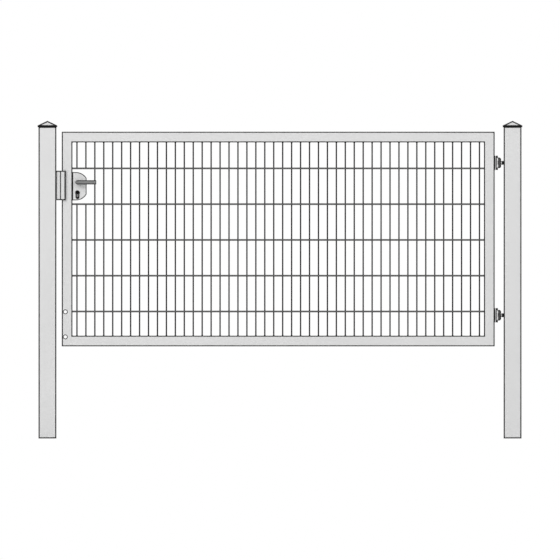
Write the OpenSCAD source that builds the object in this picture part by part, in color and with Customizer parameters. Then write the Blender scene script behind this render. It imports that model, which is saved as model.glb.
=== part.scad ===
// Single-leaf garden gate: a welded tube frame filled with a double-wire mat,
// hung between two square posts on fork hinges, with a lever lock and its keeper.
// The foot of the hinge post stands on the origin. +X runs from the latch post
// towards the hinge post, +Y is the side the leaf opens to, +Z is up.

/* [Gateway] */
// Clear width between the two posts
opening_w = 2500; // [1500:50:3500]
// Length of the posts that is set below ground
post_embed = 465; // [300:5:700]
// Gap between the ground and the underside of the leaf
ground_gap = 50; // [30:5:150]
// Gap between the latch post and the leaf
latch_gap = 30; // [20:1:45]
// Clearance that moving pieces keep from fixed ones, save at the hinges' pins
swing_clear = 5; // [5:0.5:10]

/* [Posts] */
// Side of the square post tube
post_w = 100; // [80:5:140]
// Wall of the post tube
post_wall = 3; // [2:0.5:6]
// Outer corner radius of the post tube
post_corner_r = 6; // [3:0.5:10]
// Height of the posts above the top of the leaf
post_over = 35; // [20:5:100]

/* [Post caps] */
// How far the skirt of a cap stands proud of its post
cap_overhang = 5; // [4:0.5:10]
// Height of the skirt that reaches down over the post
cap_skirt = 10; // [6:1:30]
// Rise of the pyramid above the skirt
cap_rise = 26; // [15:1:60]
// Thickness of the cap's pressed sheet, measured straight down through the pyramid
cap_wall = 2.5; // [1.5:0.5:3]
// Clearance between the skirt and the post
cap_fit = 0.5; // [0.2:0.1:1]

/* [Leaf frame] */
// Height of the leaf over its frame
leaf_h = 1200; // [1000:50:1800]
// Face width of the frame tube
frame_w = 60; // [50:5:80]
// Depth of the frame tube, front to back
frame_d = 40; // [40:2:50]
// Wall of the frame tube
frame_wall = 2; // [1.5:0.5:4]
// Outer corner radius of the frame tube
frame_corner_r = 4; // [2:0.5:6]

/* [Drop-bolt holes] */
// Diameter of the two holes drilled through the latch stile
drop_hole_d = 18; // [10:1:22]
// Height of the lower hole above the underside of the leaf
drop_hole_z = 53; // [30:1:120]
// Distance between the two holes
drop_hole_pitch = 140; // [80:5:200]
// Distance from the outer edge of the leaf to the hole centres
drop_hole_inset = 20; // [16:1:35]

/* [Wire mat] */
// Diameter of the upright wires
upright_d = 8; // [5:0.5:10]
// Diameter of the level wires, laid in pairs either side of the uprights
level_d = 10; // [6:0.5:12]
// Spacing of the upright wires
upright_pitch = 50; // [40:5:80]
// Spacing of the level pairs
level_pitch = 200; // [180:10:250]
// Height of the lowest level pair above the bottom rail
level_start = 135; // [60:5:180]

/* [Lock] */
// Width of the lock case, from the latch stile
case_w = 78; // [65:1:94]
// Height of the lock case
case_h = 156; // [130:1:187]
// Sheet thickness of the lock case
case_wall = 2.5; // [1.5:0.5:4]
// Radius of the rounded corners of the lock case
case_corner_r = 68; // [56:1:82]
// Flat length on top of the case before the corner starts
case_flat = 20; // [10:1:30]
// Distance from the stile to the spindle and to the key cylinder
backset = 28; // [23:1:34]
// Distance from the spindle down to the key cylinder
lock_centres = 58; // [48:1:70]
// Height of the foot of the escutcheon above the bottom of the case
escutcheon_up = 7; // [4:1:14]
// Width of the faceplate on the edge of the leaf
faceplate_w = 24; // [20:1:30]
// Thickness of the faceplate
faceplate_t = 3; // [2:0.5:3]
// Corner radius of the faceplate
faceplate_corner_r = 4; // [1:0.5:9]
// Thickness of the latch and the dead bolt
bolt_t = 12; // [8:1:14]
// Height of the spring latch
latch_h = 24; // [18:1:30]
// Length of the slope on the nose of the spring latch
latch_slope = 10; // [6:1:14]
// Height of the dead bolt
dead_bolt_h = 30; // [20:1:34]

/* [Lever handles] */
// Diameter of the lever's round bar
lever_d = 24; // [16:1:26]
// Reach of the lever from the spindle to its free end
lever_reach = 105; // [90:5:130]
// Distance from the case to the middle of the grip
lever_standoff = 46; // [42:1:60]
// Bend radius of the lever, to the middle of the bar
lever_bend_r = 18; // [16:1:24]
// Diameter of the lever's neck where it turns in the case
journal_d = 16; // [12:1:18]
// Radial running clearance of the neck
journal_fit = 0.05; // [0.02:0.01:0.1]

/* [Keeper] */
// How far the keeper rises above the top of the lock case
keeper_over = 9; // [0:1:20]
// Sheet thickness of the channel
keeper_wall = 3; // [2:0.5:4]
// Outer radius of the channel's bends
keeper_bend_r = 5; // [4:0.5:8]
// Thickness of the stop flange in front of the leaf
stop_t = 5; // [3:0.5:6]
// How far the stop reaches over the face of the leaf
stop_lap = 21; // [14:1:30]
// Width of the rubber buffer on the stop's free edge
buffer_w = 8; // [6:1:12]
// Gap between the buffer and the closed leaf
buffer_gap = 0.4; // [0.3:0.1:1]

/* [Hinges] */
// Height of each hinge above the bottom, and below the top, of the leaf
hinge_inset = 174; // [150:1:250]
// Height of the hinge plate
plate_h = 80; // [72:1:110]
// Thickness of the hinge plate
plate_t = 11; // [8:1:12]
// Corner radius of the hinge plate
plate_corner_r = 5; // [2:0.5:6]
// Distance between the plate's two bolts
plate_bolt_pitch = 66; // [64:1:74]
// Diameter of the plate's bolts
plate_bolt_d = 8; // [6:1:8]
// Height of the fork's flat boss
boss_h = 50; // [46:1:51]
// Corner radius of the boss
boss_corner_r = 4; // [2:0.5:8]
// Width of the fork's boss and tongue, front to back
fork_w = 26; // [24:1:27]
// Height of the fork's knuckle
knuckle_h = 60; // [54:1:64]
// Radius of the knuckle's two corners at the nose
knuckle_corner_r = 12; // [4:1:14]
// Distance from the hinge axis to the nose of the knuckle
knuckle_nose = 11; // [10:0.5:12]
// Diameter of the hinge pin
pin_d = 10; // [8:1:12]
// Radial running clearance between the pin and its holes
pin_fit = 0.05; // [0.02:0.01:0.1]
// Outside diameter of the eye
eye_d = 20; // [18:1:20]
// Height of the eye, between the jaws of the fork
eye_h = 20; // [18:1:20]
// Clearance between the eye and the jaws
jaw_gap = 0.3; // [0.2:0.1:0.5]
// Diameter of the threaded shank that goes into the post
shank_d = 12; // [10:1:12]
// Width across the flats of the lock nut
nut_flats = 19; // [17:1:19]

/* [Hidden] */
$fn = 64;
eps = 1;                                   // how far a cutter runs past what it cuts
arc_steps = 5;                             // straight steps in a tube's corner
case_steps = 14;                           // straight steps in a corner of the lock case
wire_sides = 8;                            // sides of a wire
hole_clear = 1;                            // how much wider a plain bolt hole is than its bolt

// Gateway
hinge_gap = frame_d + 2 * swing_clear;     // lets the leaf stand open at a right angle
hinge_face_x = -post_w / 2;                // leaf side of the hinge post
latch_face_x = hinge_face_x - opening_w;   // leaf side of the latch post
latch_post_x = latch_face_x - post_w / 2;
leaf_z0 = post_embed + ground_gap;
leaf_z1 = leaf_z0 + leaf_h;
post_len = leaf_z1 + post_over;
leaf_x0 = latch_face_x + latch_gap;        // latch edge of the leaf
leaf_x1 = hinge_face_x - hinge_gap;        // hinge edge of the leaf
leaf_w = leaf_x1 - leaf_x0;
leaf_y = frame_d / 2;                      // half depth of the leaf

// Wire mat
mat_x0 = leaf_x0 + frame_w;
mat_w = leaf_w - 2 * frame_w;
mat_z0 = leaf_z0 + frame_w;
mat_h = leaf_h - 2 * frame_w;
upright_count = floor(mat_w / upright_pitch);
upright_margin = (mat_w - (upright_count - 1) * upright_pitch) / 2;
level_edge = 40;                           // least height left above the top level pair
level_count = floor((mat_h - level_start - level_edge) / level_pitch) + 1;
level_y = (upright_d + level_d) / 2;       // level wires lie against the uprights

// Lock, in the uppermost bay between two level pairs, where the uprights in its way are cut
side_gap = 10;                             // least gap between the case and an upright
bay_z0 = mat_z0 + level_start + (level_count - 2) * level_pitch;
bay_z1 = bay_z0 + level_pitch;
case_z = (bay_z0 + bay_z1) / 2;            // middle of the lock case
lock_bay_uprights = ceil((case_w + side_gap - upright_margin) / upright_pitch);
dead_bolt_drop = 13;                       // middle of the dead bolt, below the cylinder
bolt_depth = 10;                           // how far the bolts reach into the case
latch_tip = 3;                             // flat left on the tip of the spring latch
bolt_chamfer = 1.5;                        // chamfer on the tip of the dead bolt
bolt_fit = 0.3;                            // clearance round the bolts in the faceplate
window_fit = 1;                            // clearance round the bolts in the stile
cyl_round_d = 17;                          // round of the standard key cylinder
cyl_stem_w = 10;                           // stem of the standard key cylinder
cyl_h = 33;                                // whole height of the standard key cylinder
cyl_proud = 4;                             // how far the cylinder stands out of the case
cyl_fit = 0.2;                             // clearance round the cylinder
plug_d = 13;                               // turning plug of the cylinder
plug_depth = 12;                           // how deep a plug sits in the cylinder
plug_proud = 0.8;                          // how far the plug stands out of the cylinder
plug_fit = 0.05;                           // radial clearance of the plug
keyway_w = 2.6;
keyway_h = 8;
keyway_depth = 5;
escutcheon_t = 3;
escutcheon_d = 26;                         // round head of the escutcheon
escutcheon_w = 21;                         // width of its stem
escutcheon_h = 48;                         // its whole height
spindle_x = mat_x0 + backset;
cylinder_z = case_z - case_h / 2 + escutcheon_up + escutcheon_h - escutcheon_d / 2;
spindle_z = cylinder_z + lock_centres;
latch_z = spindle_z;
dead_bolt_z = cylinder_z - dead_bolt_drop;
spindle_w = 8;                             // square spindle of the levers
neck_gap = 0.5;                            // gap between a lever's neck and the case
grip_chamfer = 2;                          // chamfer on the free end of a lever

// Keeper, level with the foot of the lock case
keeper_z0 = case_z - case_h / 2;
keeper_h = case_h + keeper_over;
keeper_depth = latch_gap - faceplate_t - swing_clear;
keeper_w = frame_d + 2 * (swing_clear + stop_t + keeper_bend_r);
keeper_x1 = latch_face_x + keeper_depth;
stop_x1 = leaf_x0 + stop_lap;
stop_y = -leaf_y - swing_clear - stop_t;   // front of the stop, on the flat of the channel's web
strike_fit = 3;                            // clearance round a bolt in the keeper's web
buffer_skin = 2;                           // rubber in front of the stop and past its edge
buffer_r = 1.5;                            // rounding of the rubber's outer edges

// Hinges
pin_x = hinge_face_x - hinge_gap / 2;
upper_hinge_z = leaf_z1 - hinge_inset;
lower_hinge_z = leaf_z0 + hinge_inset;
plate_x1 = leaf_x1 + plate_t;              // outer face of the hinge plate
boss_t = 8;
boss_x1 = plate_x1 + boss_t;
nose_x = pin_x + knuckle_nose;
knuckle_rise = nose_x - boss_x1;           // from the boss to the nose
knuckle_corner_x = nose_x - knuckle_corner_r;
nose_r = 15;                               // rounding of the nose from front to back
eye_back_gap = 0.6;                        // room behind the eye in the fork's slot
pin_end_cover = 4;                         // how deep the pin's ends lie in the knuckle
nut_t = 9.5;
nut_fit = 0.1;                             // radial clearance of a nut on its shank
collar_t = 5;
inner_nut_t = 10;
shank_past_nut = 6;
shank_chamfer = 1.5;                       // chamfer on the free end of the shank

// ---- shared shapes ----

// Points of an arc in degrees, from angle a0 to a1
function arc(cx, cy, r, a0, a1, steps) =
    [for (i = [0:steps]) let (a = a0 + (a1 - a0) * i / steps) [cx + r * cos(a), cy + r * sin(a)]];

// Outline of a w x h rectangle with rounded corners, centred
function rounded_outline(w, h, r) = concat(
    arc(w / 2 - r, h / 2 - r, r, 0, 90, arc_steps),
    arc(-w / 2 + r, h / 2 - r, r, 90, 180, arc_steps),
    arc(-w / 2 + r, -h / 2 + r, r, 180, 270, arc_steps),
    arc(w / 2 - r, -h / 2 + r, r, 270, 360, arc_steps)
);

// Rectangle w x h with round corners, centred
module rounded_rectangle(w, h, r) {
    square([w - 2 * r, h], center = true);
    square([w, h - 2 * r], center = true);
    for (i = [-1, 1], j = [-1, 1]) translate([i * (w / 2 - r), j * (h / 2 - r)]) circle(r = r);
}

// Section of a rectangular tube with rounded corners
module tube_section(w, h, wall, r) {
    difference() {
        polygon(rounded_outline(w, h, r));
        polygon(rounded_outline(w - 2 * wall, h - 2 * wall, max(r - wall, 0.5)));
    }
}

module post_tube() {
    linear_extrude(height = post_len) tube_section(post_w, post_w, post_wall, post_corner_r);
}

// Leaf tube along +X from the origin, outer face at z = 0, both ends mitred inwards
module mitred_tube(length) {
    difference() {
        translate([0, 0, frame_w / 2])
            rotate([90, 0, 90])
                linear_extrude(height = length)
                    tube_section(frame_d, frame_w, frame_wall, frame_corner_r);
        mitre_cutter();
        translate([length, 0, 0]) mirror([1, 0, 0]) mitre_cutter();
    }
}

// Wedge that leaves a 45 degree end on a tube that starts at x = 0
module mitre_cutter() {
    past = frame_w + eps;
    rotate([90, 0, 0])
        translate([0, 0, -frame_d])
            linear_extrude(height = 2 * frame_d)
                polygon([[-eps, -eps], [past, past], [-eps, past]]);
}

// A straight wire of few sides, with flats to the front and the back
module wire(d, length) {
    rotate([0, 0, 180 / wire_sides])
        cylinder(d = d / cos(180 / wire_sides), h = length, $fn = wire_sides);
}

// Bar along Y, centred on the leaf, with its axis at x, z
module cross_bar(x, z, d, length) {
    translate([x, length / 2, z]) rotate([90, 0, 0]) cylinder(d = d, h = length);
}

// Plate with rounded corners, w wide in Y and h high, that runs from x to x + t
module rounded_plate(x, t, w, h, r) {
    translate([x, 0, 0]) rotate([0, 90, 0]) linear_extrude(height = t) rounded_rectangle(h, w, r);
}

// Turns a flat outline in X and Z into a plate whose front face is at y
module plate_xz(y, t) {
    translate([0, y + t, 0]) rotate([90, 0, 0]) linear_extrude(height = t) children();
}

// ---- posts and caps ----

module hinge_post() {
    color("gainsboro")
        difference() {
            post_tube();
            for (z = [upper_hinge_z, lower_hinge_z])
                translate([hinge_face_x - eps, 0, z])
                    rotate([0, 90, 0])
                        cylinder(d = shank_d + hole_clear, h = post_wall + 2 * eps);
        }
}

module latch_post() {
    color("gainsboro") translate([latch_post_x, 0, 0]) post_tube();
}

// Solid pyramid on a square skirt: two gabled prisms crossed at right angles
module pyramid_block(w, skirt, rise) {
    gable = [[-w / 2, 0], [w / 2, 0], [w / 2, skirt], [0, skirt + rise], [-w / 2, skirt]];
    intersection() {
        rotate([90, 0, 0]) translate([0, 0, -w / 2]) linear_extrude(height = w) polygon(gable);
        rotate([90, 0, 90]) translate([0, 0, -w / 2]) linear_extrude(height = w) polygon(gable);
    }
}

// Pressed cap: its skirt slips over the post and its ledge rests on the post's top
module post_cap() {
    outer_w = post_w + 2 * cap_overhang;
    socket_w = post_w + 2 * cap_fit;
    hollow_w = post_w - 2 * post_corner_r;
    hollow_rise = cap_rise * hollow_w / outer_w;
    color("dimgray")
        translate([0, 0, post_len - cap_skirt])
            difference() {
                pyramid_block(outer_w, cap_skirt, cap_rise);
                translate([-socket_w / 2, -socket_w / 2, -eps])
                    cube([socket_w, socket_w, cap_skirt + eps]);
                translate([0, 0, cap_skirt - eps])
                    pyramid_block(hollow_w, eps + cap_rise - hollow_rise - cap_wall, hollow_rise);
            }
}

module hinge_post_cap() {
    post_cap();
}

module latch_post_cap() {
    translate([latch_post_x, 0, 0]) post_cap();
}

// ---- leaf frame ----

module bottom_rail() {
    color("lightgray") translate([leaf_x0, 0, leaf_z0]) mitred_tube(leaf_w);
}

module top_rail() {
    color("lightgray") translate([leaf_x0, 0, leaf_z1]) mirror([0, 0, 1]) mitred_tube(leaf_w);
}

// Stile with its outer face at x = 0 and its inside towards +X
module stile_tube() {
    mirror([1, 0, 0]) rotate([0, -90, 0]) mitred_tube(leaf_h);
}

module hinge_stile() {
    color("lightgray")
        difference() {
            translate([leaf_x1, 0, leaf_z0]) mirror([1, 0, 0]) stile_tube();
            for (z = [upper_hinge_z, lower_hinge_z]) plate_bolt_holes(z);
        }
}

module latch_stile() {
    color("lightgray")
        difference() {
            translate([leaf_x0, 0, leaf_z0]) stile_tube();
            for (i = [0, 1])
                cross_bar(leaf_x0 + drop_hole_inset, leaf_z0 + drop_hole_z + i * drop_hole_pitch,
                          drop_hole_d, frame_d + 2 * eps);
            bolt_window(latch_z, latch_h);
            bolt_window(dead_bolt_z, dead_bolt_h);
        }
}

// Window through both walls of the latch stile for a bolt of height h
module bolt_window(z, h) {
    w = bolt_t + 2 * window_fit;
    tall = h + 2 * window_fit;
    translate([leaf_x0 - eps, -w / 2, z - tall / 2]) cube([frame_w + 2 * eps, w, tall]);
}

// ---- wire mat ----

function upright_x(i) = mat_x0 + upright_margin + i * upright_pitch;
function level_z(i) = mat_z0 + level_start + i * level_pitch;

// Uprights with the front level wires welded to them
module mat_front() {
    color("dimgray") {
        for (i = [lock_bay_uprights:upright_count - 1])
            translate([upright_x(i), 0, mat_z0]) wire(upright_d, mat_h);
        // beside the lock the uprights stop at the level pairs
        for (i = [0:lock_bay_uprights - 1]) {
            translate([upright_x(i), 0, mat_z0])
                wire(upright_d, bay_z0 + level_d / 2 - mat_z0);
            translate([upright_x(i), 0, bay_z1 - level_d / 2])
                wire(upright_d, mat_z0 + mat_h - bay_z1 + level_d / 2);
        }
        level_wires(-level_y);
    }
}

module mat_back_wires() {
    color("dimgray") level_wires(level_y);
}

module level_wires(y) {
    for (i = [0:level_count - 1])
        translate([mat_x0, y, level_z(i)]) rotate([0, 90, 0]) wire(level_d, mat_w);
}

// ---- lock ----

// D-shaped outline of the lock case in X and Z, drawn in by inset on its free sides
module case_outline(inset, start) {
    w = case_w - inset;
    h = case_h / 2 - inset;
    r = case_corner_r - inset;
    // the corner is centred below the top, and ends where it meets the straight edge
    cx = max(case_flat, w - r);
    cz = h - r;
    upper = arc(cx, cz, r, acos((w - cx) / r), 90, case_steps);
    lower = [for (i = [case_steps:-1:0]) [upper[i][0], -upper[i][1]]];
    polygon(concat([[start, -h]], lower, upper, [[start, h]]));
}

module lock_case() {
    depth = frame_d;
    color("lightgray")
        difference() {
            translate([mat_x0, 0, case_z]) plate_xz(-depth / 2, depth) case_outline(0, 0);
            translate([mat_x0, 0, case_z])
                plate_xz(-depth / 2 + case_wall, depth - 2 * case_wall)
                    case_outline(case_wall, -eps);
            cross_bar(spindle_x, spindle_z, journal_d + 2 * journal_fit, depth + 2 * eps);
            plate_xz(-depth / 2 - eps, depth + 2 * eps) cylinder_outline(cyl_fit);
        }
}

// Keyhole outline at the cylinder: a round head with a stem below it, h high in all
module keyhole_outline(head_d, stem_w, h) {
    foot_z = cylinder_z + head_d / 2 - h + stem_w / 2;
    translate([spindle_x, cylinder_z]) circle(d = head_d);
    translate([spindle_x, foot_z]) circle(d = stem_w);
    translate([spindle_x - stem_w / 2, foot_z]) square([stem_w, cylinder_z - foot_z]);
}

// Section of the standard key cylinder, grown by g all round
module cylinder_outline(g) {
    keyhole_outline(cyl_round_d + 2 * g, cyl_stem_w + 2 * g, cyl_h + 2 * g);
}

module key_cylinder() {
    length = frame_d + 2 * cyl_proud;
    color("dimgray")
        difference() {
            plate_xz(-length / 2, length) cylinder_outline(0);
            for (side = [-1, 1])
                translate([0, side * (length / 2 - plug_depth / 2 + eps / 2), 0])
                    cross_bar(spindle_x, cylinder_z, plug_d, plug_depth + eps);
        }
}

// The two plugs that the key turns, each with its keyway
module cylinder_plugs() {
    length = frame_d + 2 * cyl_proud;
    color("black")
        for (side = [-1, 1])
            difference() {
                translate([0, side * (length / 2 + (plug_proud - plug_depth) / 2), 0])
                    cross_bar(spindle_x, cylinder_z, plug_d - 2 * plug_fit, plug_depth + plug_proud);
                translate([spindle_x - keyway_w / 2, side * length / 2 - keyway_depth,
                           cylinder_z - keyway_h / 2])
                    cube([keyway_w, 2 * keyway_depth, keyway_h]);
            }
}

// Cover plate round the cylinder, on the outside of the case
module escutcheon(side) {
    y = side < 0 ? -frame_d / 2 - escutcheon_t : frame_d / 2;
    color("black")
        difference() {
            plate_xz(y, escutcheon_t) keyhole_outline(escutcheon_d, escutcheon_w, escutcheon_h);
            plate_xz(y - eps, escutcheon_t + 2 * eps) cylinder_outline(cyl_fit);
        }
}

module front_escutcheon() {
    escutcheon(-1);
}

module rear_escutcheon() {
    escutcheon(1);
}

module lock_faceplate() {
    color("silver")
        difference() {
            translate([0, 0, case_z])
                rounded_plate(leaf_x0 - faceplate_t, faceplate_t, faceplate_w, case_h,
                              faceplate_corner_r);
            faceplate_slot(latch_z, latch_h);
            faceplate_slot(dead_bolt_z, dead_bolt_h);
        }
}

module faceplate_slot(z, h) {
    w = bolt_t + 2 * bolt_fit;
    tall = h + 2 * bolt_fit;
    translate([leaf_x0 - faceplate_t - eps, -w / 2, z - tall / 2])
        cube([faceplate_t + 2 * eps, w, tall]);
}

// A bolt h high, drawn back until its tip is level with the faceplate. The tip's profile
// is a list of points from the back of the bolt to its front
module lock_bolt(z, h, tip) {
    length = faceplate_t + frame_w + bolt_depth;
    translate([leaf_x0 - faceplate_t, 0, z - h / 2])
        linear_extrude(height = h)
            polygon(concat([[length, -bolt_t / 2], [length, bolt_t / 2]], tip));
}

// Its nose slopes away on the front, which meets the keeper first as the leaf closes
module spring_latch() {
    tip = [[0, bolt_t / 2], [0, bolt_t / 2 - latch_tip], [latch_slope, -bolt_t / 2]];
    color("silver") lock_bolt(latch_z, latch_h, tip);
}

module dead_bolt() {
    flat = bolt_t / 2 - bolt_chamfer;
    tip = [[bolt_chamfer, bolt_t / 2], [0, flat], [0, -flat], [bolt_chamfer, -bolt_t / 2]];
    color("silver") lock_bolt(dead_bolt_z, dead_bolt_h, tip);
}

// ---- levers ----

// Round bar bent from the spindle into a level grip, on the front of the leaf
module lever() {
    neck_y0 = -frame_d / 2 - neck_gap;
    bend_y = -frame_d / 2 - lever_standoff + lever_bend_r;
    color("gray")
        translate([spindle_x, 0, spindle_z]) {
            // journal inside the case wall
            translate([0, neck_y0, 0])
                rotate([-90, 0, 0]) cylinder(d = journal_d, h = neck_gap + case_wall);
            translate([0, bend_y, 0]) rotate([-90, 0, 0]) cylinder(d = lever_d, h = neck_y0 - bend_y);
            translate([lever_bend_r, bend_y, 0])
                rotate([0, 0, 180])
                    rotate_extrude(angle = 90) translate([lever_bend_r, 0]) circle(d = lever_d);
            translate([lever_bend_r, bend_y - lever_bend_r, 0])
                rotate([0, 90, 0]) lever_grip(lever_reach - lever_bend_r);
        }
}

// Grip along its axis, with a small chamfer on its free end
module lever_grip(length) {
    rotate_extrude()
        polygon([[0, 0], [lever_d / 2, 0], [lever_d / 2, length - grip_chamfer],
                 [lever_d / 2 - grip_chamfer, length], [0, length]]);
}

module front_lever() {
    lever();
}

module rear_lever() {
    mirror([0, 1, 0]) lever();
}

// Square bar that joins the two levers through the lock
module lever_spindle() {
    length = frame_d - 2 * case_wall;
    color("silver")
        translate([spindle_x - spindle_w / 2, -length / 2, spindle_z - spindle_w / 2])
            cube([spindle_w, length, spindle_w]);
}

// ---- keeper ----

// Folded channel welded to the latch post, with a strike slot for each bolt in its web
module keeper_channel() {
    color("lightgray")
        difference() {
            translate([latch_face_x, 0, keeper_z0])
                linear_extrude(height = keeper_h)
                    intersection() {
                        tube_section(2 * keeper_depth, keeper_w, keeper_wall, keeper_bend_r);
                        translate([0, -keeper_w / 2]) square([keeper_depth, keeper_w]);
                    }
            strike_slot(latch_z, latch_h);
            strike_slot(dead_bolt_z, dead_bolt_h);
        }
}

module strike_slot(z, h) {
    w = bolt_t + 2 * strike_fit;
    tall = h + 2 * strike_fit;
    translate([keeper_x1 - keeper_wall - eps, -w / 2, z - tall / 2])
        cube([keeper_wall + 2 * eps, w, tall]);
}

// Flange in front of the leaf that the closed leaf comes up against,
// welded by its edge to the web of the channel
module keeper_stop() {
    color("lightgray")
        translate([keeper_x1, stop_y, keeper_z0]) cube([stop_x1 - keeper_x1, stop_t, keeper_h]);
}

// Rubber strip slipped over the free edge of the stop
module keeper_buffer() {
    front_y = stop_y - buffer_skin;
    back_y = -leaf_y - buffer_gap;
    color("black")
        translate([stop_x1, 0, keeper_z0])
            linear_extrude(height = keeper_h)
                difference() {
                    translate([buffer_skin - buffer_w / 2, (front_y + back_y) / 2])
                        rounded_rectangle(buffer_w, back_y - front_y, buffer_r);
                    translate([-buffer_w, stop_y]) square([buffer_w, stop_t]);
                }
}

// ---- hinges ----

module plate_bolt_holes(z) {
    for (side = [-1, 1])
        translate([leaf_x1 - frame_wall - eps, 0, z + side * plate_bolt_pitch / 2])
            rotate([0, 90, 0])
                cylinder(d = plate_bolt_d + hole_clear, h = frame_wall + plate_t + 2 * eps);
}

// Plate bolted to the edge of the leaf
module hinge_plate(z) {
    color("darkgray")
        difference() {
            translate([0, 0, z]) rounded_plate(leaf_x1, plate_t, frame_d, plate_h, plate_corner_r);
            plate_bolt_holes(z);
        }
}

// Knuckle of the fork: D-shaped from the front, and rounded at the nose from front to back
module fork_knuckle() {
    intersection() {
        translate([boss_x1, 0, 0])
            plate_xz(-fork_w / 2, fork_w)
                intersection() {
                    rounded_rectangle(2 * knuckle_rise, knuckle_h, knuckle_corner_r);
                    translate([0, -knuckle_h / 2]) square([knuckle_rise, knuckle_h]);
                }
        translate([nose_x - nose_r, 0, -knuckle_h]) cylinder(r = nose_r, h = 2 * knuckle_h);
    }
}

// Fork: a flat boss that carries the knuckle, slotted for the eye and bored for the pin
module hinge_fork(z) {
    slot_x0 = pin_x - eye_d / 2 - eye_back_gap;
    slot_h = eye_h + 2 * jaw_gap;
    color("dimgray")
        translate([0, 0, z])
            difference() {
                union() {
                    rounded_plate(plate_x1, boss_t, fork_w, boss_h, boss_corner_r);
                    fork_knuckle();
                }
                translate([slot_x0, -fork_w, -slot_h / 2])
                    cube([nose_x - slot_x0 + eps, 2 * fork_w, slot_h]);
                translate([pin_x, 0, -knuckle_h])
                    cylinder(d = pin_d + 2 * pin_fit, h = 2 * knuckle_h);
            }
}

// Pin, a little shorter than the knuckle is high at the hinge axis
module hinge_pin(z) {
    into_corner = max(pin_x - knuckle_corner_x, 0);
    corner_drop = knuckle_corner_r - sqrt(pow(knuckle_corner_r, 2) - pow(into_corner, 2));
    length = knuckle_h - 2 * (corner_drop + pin_end_cover);
    color("silver") translate([pin_x, 0, z - length / 2]) cylinder(d = pin_d, h = length);
}

// Eye on the pin, its collar and the threaded shank that goes through the post wall
module hinge_eye_bolt(z) {
    nut_x = hinge_face_x - nut_t;
    shank_x1 = hinge_face_x + post_wall + inner_nut_t + shank_past_nut;
    color("dimgray")
        translate([0, 0, z])
            difference() {
                union() {
                    translate([pin_x, 0, -eye_h / 2]) cylinder(d = eye_d, h = eye_h);
                    translate([pin_x, 0, 0]) rotate([0, 90, 0]) shank(shank_x1 - pin_x);
                    translate([nut_x - collar_t, 0, 0]) rotate([0, 90, 0]) cylinder(d = eye_h, h = collar_t);
                }
                translate([pin_x, 0, -eye_h]) cylinder(d = pin_d + 2 * pin_fit, h = 2 * eye_h);
            }
}

// Round bar with a small chamfer on its far end
module shank(length) {
    r = shank_d / 2;
    rotate_extrude()
        polygon([[0, 0], [r, 0], [r, length - shank_chamfer], [r - shank_chamfer, length], [0, length]]);
}

// Lock nut outside the post wall and the nut that holds the shank inside it
module hinge_nuts(z) {
    color("black")
        translate([0, 0, z]) {
            hex_nut(hinge_face_x - nut_t, nut_t);
            hex_nut(hinge_face_x + post_wall, inner_nut_t);
        }
}

// Nut on the shank whose six corners are turned off to a chamfer on both faces
module hex_nut(x, t) {
    flat_r = nut_flats / 2;
    corner_r = flat_r / cos(30);
    chamfer = (corner_r - flat_r) * tan(30);
    translate([x, 0, 0])
        rotate([0, 90, 0])
            difference() {
                intersection() {
                    cylinder(r = corner_r, h = t, $fn = 6);
                    rotate_extrude()
                        polygon([[0, 0], [flat_r, 0], [corner_r, chamfer],
                                 [corner_r, t - chamfer], [flat_r, t], [0, t]]);
                }
                translate([0, 0, -eps]) cylinder(d = shank_d + 2 * nut_fit, h = t + 2 * eps);
            }
}

module upper_hinge_plate() { hinge_plate(upper_hinge_z); }
module upper_hinge_fork() { hinge_fork(upper_hinge_z); }
module upper_hinge_pin() { hinge_pin(upper_hinge_z); }
module upper_hinge_eye_bolt() { hinge_eye_bolt(upper_hinge_z); }
module upper_hinge_nuts() { hinge_nuts(upper_hinge_z); }
module lower_hinge_plate() { hinge_plate(lower_hinge_z); }
module lower_hinge_fork() { hinge_fork(lower_hinge_z); }
module lower_hinge_pin() { hinge_pin(lower_hinge_z); }
module lower_hinge_eye_bolt() { hinge_eye_bolt(lower_hinge_z); }
module lower_hinge_nuts() { hinge_nuts(lower_hinge_z); }

latch_post();
hinge_post();
latch_post_cap();
hinge_post_cap();
keeper_channel();
keeper_stop();
keeper_buffer();
top_rail();
bottom_rail();
latch_stile();
hinge_stile();
mat_front();
mat_back_wires();
lock_case();
lock_faceplate();
spring_latch();
dead_bolt();
key_cylinder();
cylinder_plugs();
front_escutcheon();
rear_escutcheon();
front_lever();
rear_lever();
lever_spindle();
upper_hinge_plate();
upper_hinge_fork();
upper_hinge_pin();
upper_hinge_eye_bolt();
upper_hinge_nuts();
lower_hinge_plate();
lower_hinge_fork();
lower_hinge_pin();
lower_hinge_eye_bolt();
lower_hinge_nuts();
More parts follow.
